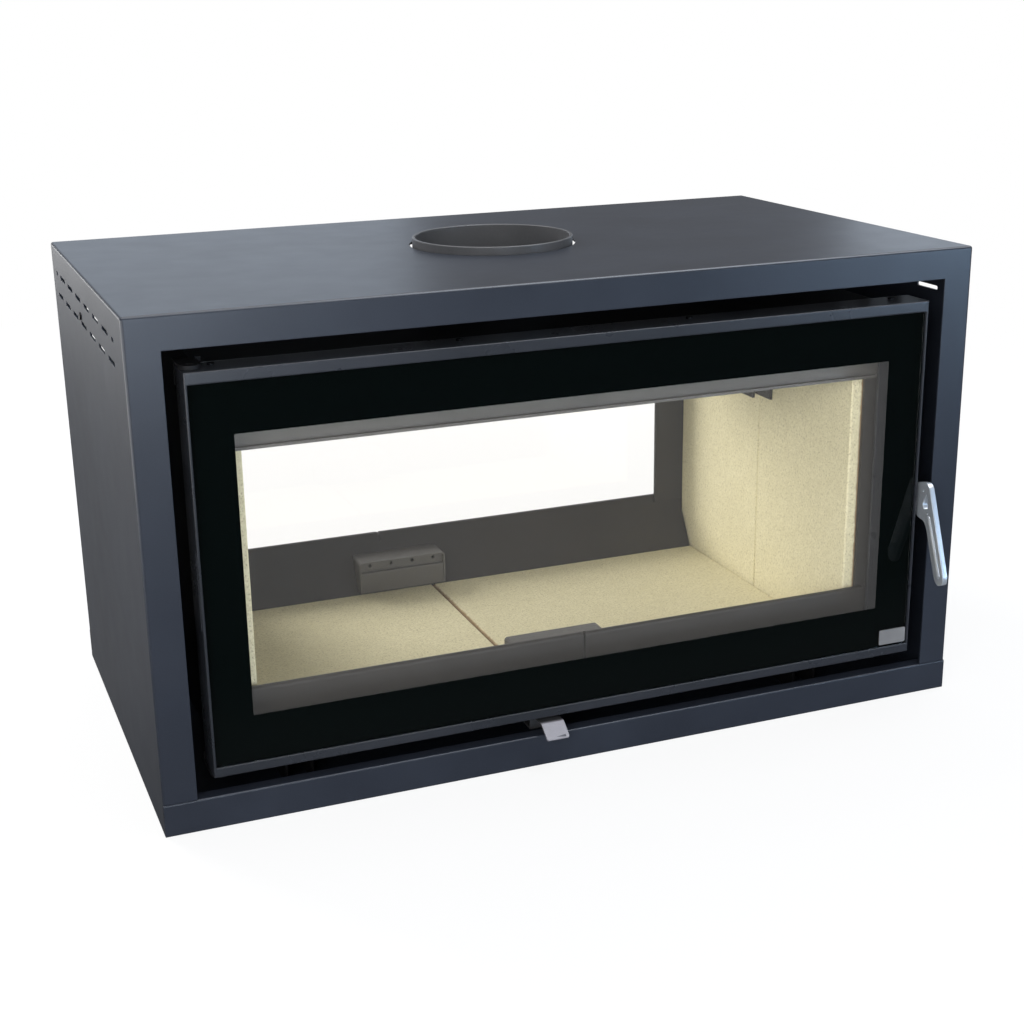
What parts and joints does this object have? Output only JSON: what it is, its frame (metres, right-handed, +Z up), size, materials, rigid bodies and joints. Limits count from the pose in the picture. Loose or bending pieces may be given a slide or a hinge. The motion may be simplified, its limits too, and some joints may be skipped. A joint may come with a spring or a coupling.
{
  "type": "fireplace insert",
  "caption": "Double-sided wood-burning fireplace insert: box casing, brick-lined firebox, glazed hinged doors front and rear, flue collar on top.",
  "frame": {"origin": "centre of the casing's base", "axes": "+X to the right seen from the front, front door at -Y, +Z up through the flue"},
  "size_m": [0.904, 0.6188, 0.5205],
  "materials": {
    "casing_paint": "fine satin heat-proof paint, charcoal",
    "firebox_paint": "matt heat-proof paint, near black",
    "collar_steel": "satin heat-proof paint on rolled plate",
    "door_paint": "satin heat-proof paint",
    "glass": "clear glass ceramic",
    "black_print": "black enamel printed on the back of the glass",
    "rope": "braided glass fibre rope and tape",
    "inner_steel": "heat-browned matt paint",
    "brick": "cream vermiculite board",
    "screw_steel": "plain steel",
    "handle_metal": "satin cast aluminium",
    "badge_metal": "blank satin plate",
    "slide_steel": "matt heat-proof paint"
  },
  "bodies": {
    "firebox": {"air_slide_guides": "slide_steel", "baffle_brackets": "firebox_paint", "baffle_plate": "firebox_paint", "base_tray": "casing_paint", "casing_brackets": "firebox_paint", "casing_screws": "screw_steel", "casing_wrap": "casing_paint", "firebox_bottom": "firebox_paint", "firebox_feet": "firebox_paint", "firebox_side_left": "firebox_paint", "firebox_side_right": "firebox_paint", "firebox_top_plate": "firebox_paint", "floor_brick_left": "brick", "floor_brick_right": "brick", "flue_collar": "collar_steel", "front_air_box": "inner_steel", "front_deflector": "inner_steel", "front_frame": "firebox_paint", "front_hinge_brackets": "firebox_paint", "front_hinge_pins": "screw_steel", "front_latch_keeper": "firebox_paint", "front_log_guard": "inner_steel", "rear_air_box": "inner_steel", "rear_deflector": "inner_steel", "rear_frame": "firebox_paint", "rear_hinge_brackets": "firebox_paint", "rear_hinge_pins": "screw_steel", "rear_latch_keeper": "firebox_paint", "rear_log_guard": "inner_steel", "side_brick_left_front": "brick", "side_brick_left_rear": "brick", "side_brick_right_front": "brick", "side_brick_right_rear": "brick"},
    "front_door": {"front_door_frame": "door_paint", "front_door_glass": "glass", "front_glass_print": "black_print", "front_glass_seal": "rope", "front_glass_retainers": "inner_steel", "front_door_screws": "screw_steel", "front_door_rope": "rope", "front_hinge_bushes": "screw_steel", "front_handle_bush": "screw_steel", "badge_plate": "badge_metal"},
    "rear_door": {"rear_door_frame": "door_paint", "rear_door_glass": "glass", "rear_glass_print": "black_print", "rear_glass_seal": "rope", "rear_glass_retainers": "inner_steel", "rear_door_screws": "screw_steel", "rear_door_rope": "rope", "rear_hinge_bushes": "screw_steel", "rear_handle_bush": "screw_steel"},
    "front_lever": {"front_handle": "handle_metal", "front_handle_shaft": "screw_steel", "front_latch_cam": "screw_steel"},
    "rear_lever": {"rear_handle": "handle_metal", "rear_handle_shaft": "screw_steel", "rear_latch_cam": "screw_steel"},
    "air_control": {"air_slide": "slide_steel"}
  },
  "joints": [
    {"name": "front_door_hinge", "type": "hinge", "parent": "firebox", "child": "front_door", "pos_m": [-0.389, -0.232, 0.2555], "axis": [0, 0, -1], "range_deg": [0, 100]},
    {"name": "rear_door_hinge", "type": "hinge", "parent": "firebox", "child": "rear_door", "pos_m": [0.389, 0.232, 0.2555], "axis": [0, 0, -1], "range_deg": [0, 100]},
    {"name": "front_handle_pivot", "type": "hinge", "parent": "front_door", "child": "front_lever", "pos_m": [0.4055, -0.228, 0.235], "axis": [-1, 0, 0], "range_deg": [0, 35]},
    {"name": "rear_handle_pivot", "type": "hinge", "parent": "rear_door", "child": "rear_lever", "pos_m": [-0.4055, 0.228, 0.235], "axis": [1, 0, 0], "range_deg": [0, 35]},
    {"name": "air_slide_travel", "type": "slide", "parent": "firebox", "child": "air_control", "axis": [1, 0, 0], "range_m": [0, 0.074]}
  ]
}
